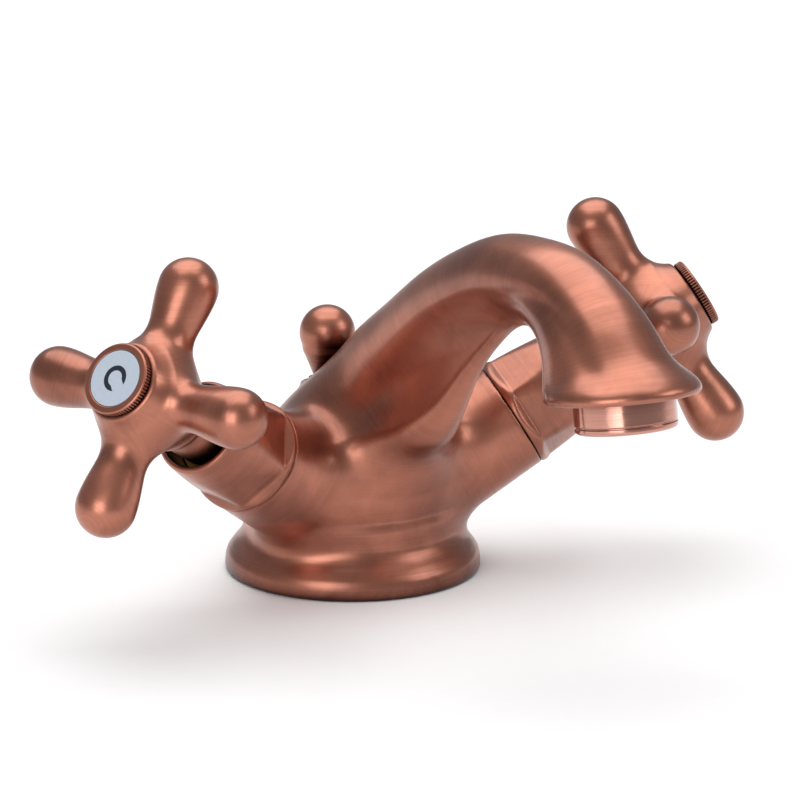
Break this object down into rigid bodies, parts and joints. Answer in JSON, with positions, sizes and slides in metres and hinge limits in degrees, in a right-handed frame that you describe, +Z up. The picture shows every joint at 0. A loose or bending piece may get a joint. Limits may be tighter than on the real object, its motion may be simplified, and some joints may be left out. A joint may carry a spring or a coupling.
{
  "type": "basin mixer tap",
  "caption": "Cross-handle basin mixer tap in satin copper with a fixed swan-neck spout, an aerator, quarter-turn ceramic valves and a pop-up waste lift rod.",
  "frame": {"origin": "centre of the base's underside, on the basin deck, in line with the tap hole", "axes": "+Z up; the spout reaches towards -Y, the user's side; the cold valve is on -X and the hot valve on +X"},
  "size_m": [0.1866, 0.1703, 0.1013],
  "materials": {
    "copper_satin": "brushed and lacquered antique copper plate on cast brass",
    "copper_polished": "polished copper plate on turned brass",
    "valve_brass": "machined brass",
    "valve_ceramic": "lapped alumina ceramic",
    "seal_rubber": "moulded NBR rubber",
    "steel": "stainless steel",
    "index_enamel": "pale blue-white moulded index disc",
    "index_ink": "dark filled index letter",
    "insert_plastic": "moulded acetal"
  },
  "bodies": {
    "root": {"body": "copper_satin", "base_gasket": "seal_rubber", "cold_valve_housing": "copper_satin", "cold_housing_seal": "seal_rubber", "cold_cartridge": "valve_brass", "cold_seat_seal": "seal_rubber", "cold_fixed_disc": "valve_ceramic", "hot_valve_housing": "copper_satin", "hot_housing_seal": "seal_rubber", "hot_cartridge": "valve_brass", "hot_seat_seal": "seal_rubber", "hot_fixed_disc": "valve_ceramic", "aerator_housing": "copper_polished", "aerator_washer": "seal_rubber", "aerator_screen": "steel", "aerator_insert": "insert_plastic", "lift_rod_bush": "copper_polished"},
    "cold_handle": {"cold_handle": "copper_satin", "cold_handle_screw": "steel", "cold_index_cap": "copper_satin", "cold_index_disc": "index_enamel", "cold_index_mark": "index_ink", "cold_spindle": "valve_brass", "cold_spindle_seal": "seal_rubber", "cold_spindle_clip": "steel", "cold_moving_disc": "valve_ceramic"},
    "hot_handle": {"hot_handle": "copper_satin", "hot_handle_screw": "steel", "hot_index_cap": "copper_satin", "hot_index_disc": "index_enamel", "hot_index_mark": "index_ink", "hot_spindle": "valve_brass", "hot_spindle_seal": "seal_rubber", "hot_spindle_clip": "steel", "hot_moving_disc": "valve_ceramic"},
    "lift_rod": {"lift_rod": "copper_polished", "lift_knob": "copper_satin"}
  },
  "joints": [
    {"name": "cold_handle_turn", "type": "hinge", "parent": "root", "child": "cold_handle", "pos_m": [-0.07276, -0.02706, 0.06007], "axis": [-0.7987, -0.297, 0.5232], "range_deg": [0, 90]},
    {"name": "hot_handle_turn", "type": "hinge", "parent": "root", "child": "hot_handle", "pos_m": [0.07276, -0.02706, 0.06007], "axis": [-0.7987, 0.297, -0.5232], "range_deg": [0, 90]},
    {"name": "lift_rod_pull", "type": "slide", "parent": "root", "child": "lift_rod", "axis": [0, 0, 1], "range_m": [0, 0.02]}
  ]
}
